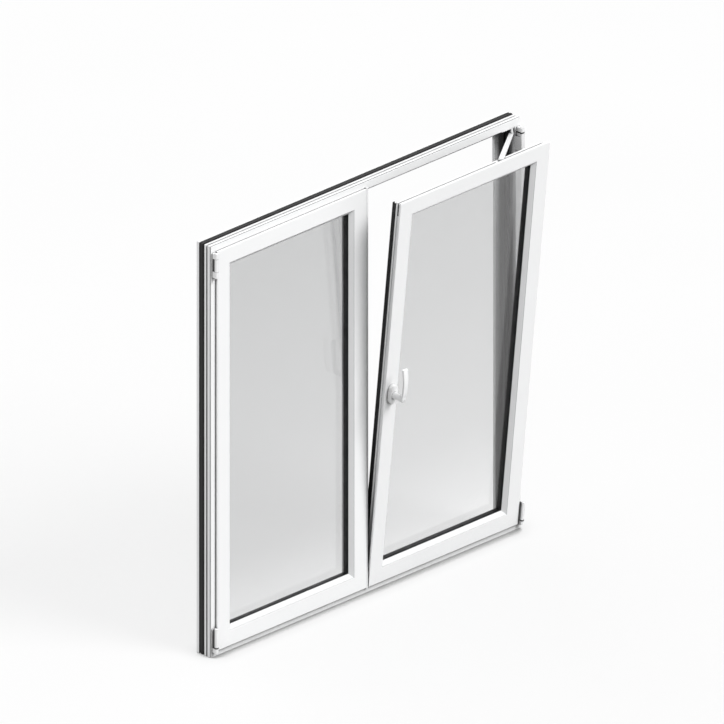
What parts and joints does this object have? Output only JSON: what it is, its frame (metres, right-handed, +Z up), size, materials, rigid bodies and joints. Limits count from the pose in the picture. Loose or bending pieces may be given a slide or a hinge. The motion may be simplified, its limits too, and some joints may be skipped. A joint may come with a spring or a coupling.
{
  "type": "tilt and turn window",
  "caption": "Double-leaf aluminium tilt and turn window with a hidden sash: one leaf closed, the other tilted into the room on its stay arm, with a lever handle that turns.",
  "frame": {"origin": "middle of the sill's underside, on the flat land where the frame is fixed, 10 mm behind the room face of the frame", "axes": "+X to the right seen from the room, +Y to the outside, +Z up"},
  "size_m": [1.45, 0.228, 1.5],
  "materials": {
    "white_coated_aluminium": "satin white powder coat",
    "white_fittings": "satin white powder coat",
    "white_handle": "smooth white powder coat",
    "steel_rail": "zinc plated",
    "black_polyamide": "matt black",
    "black_rubber": "matt black rubber",
    "black_spacer": "matt black",
    "clear_glass": "clear float glass"
  },
  "bodies": {
    "window": {"frame_head_inside": "white_coated_aluminium", "frame_head_outside": "white_coated_aluminium", "frame_insulating_strips": "black_polyamide", "frame_left_jamb_inside": "white_coated_aluminium", "frame_left_jamb_outside": "white_coated_aluminium", "frame_right_jamb_inside": "white_coated_aluminium", "frame_right_jamb_outside": "white_coated_aluminium", "frame_seals": "black_rubber", "frame_sill_inside": "white_coated_aluminium", "frame_sill_outside": "white_coated_aluminium", "handle_rosette": "white_handle", "left_lower_hinge_frame_leaf": "white_fittings", "left_lower_hinge_sash_leaf": "white_fittings", "left_sash_bottom_rail": "white_coated_aluminium", "left_sash_glass": "clear_glass", "left_sash_glass_carrier": "black_polyamide", "left_sash_glass_spacer": "black_spacer", "left_sash_glazing_beads": "white_coated_aluminium", "left_sash_left_stile": "white_coated_aluminium", "left_sash_right_stile": "white_coated_aluminium", "left_sash_seals": "black_rubber", "left_sash_top_rail": "white_coated_aluminium", "left_upper_hinge_frame_leaf": "white_fittings", "left_upper_hinge_sash_leaf": "white_fittings", "meeting_stile_adapter": "white_coated_aluminium", "meeting_stile_outside_cover": "white_coated_aluminium", "meeting_stile_web": "black_polyamide", "right_lower_hinge_frame_leaf": "white_fittings", "right_lower_hinge_sash_leaf": "white_fittings", "right_sash_bottom_rail": "white_coated_aluminium", "right_sash_glass": "clear_glass", "right_sash_glass_carrier": "black_polyamide", "right_sash_glass_spacer": "black_spacer", "right_sash_glazing_beads": "white_coated_aluminium", "right_sash_left_stile": "white_coated_aluminium", "right_sash_lock_rail": "steel_rail", "right_sash_meeting_profile": "black_polyamide", "right_sash_right_stile": "white_coated_aluminium", "right_sash_seals": "black_rubber", "right_sash_top_rail": "white_coated_aluminium", "stay_arm": "white_fittings", "stay_bearing": "white_fittings", "stay_bracket": "white_fittings"},
    "handle": {"handle_lever": "white_handle"}
  },
  "joints": [
    {"name": "handle_turn", "type": "hinge", "parent": "window", "child": "handle", "pos_m": [0.0335, -0.0951, 0.74601], "axis": [0, 0.9945, 0.1045], "range_deg": [0, 180]}
  ]
}
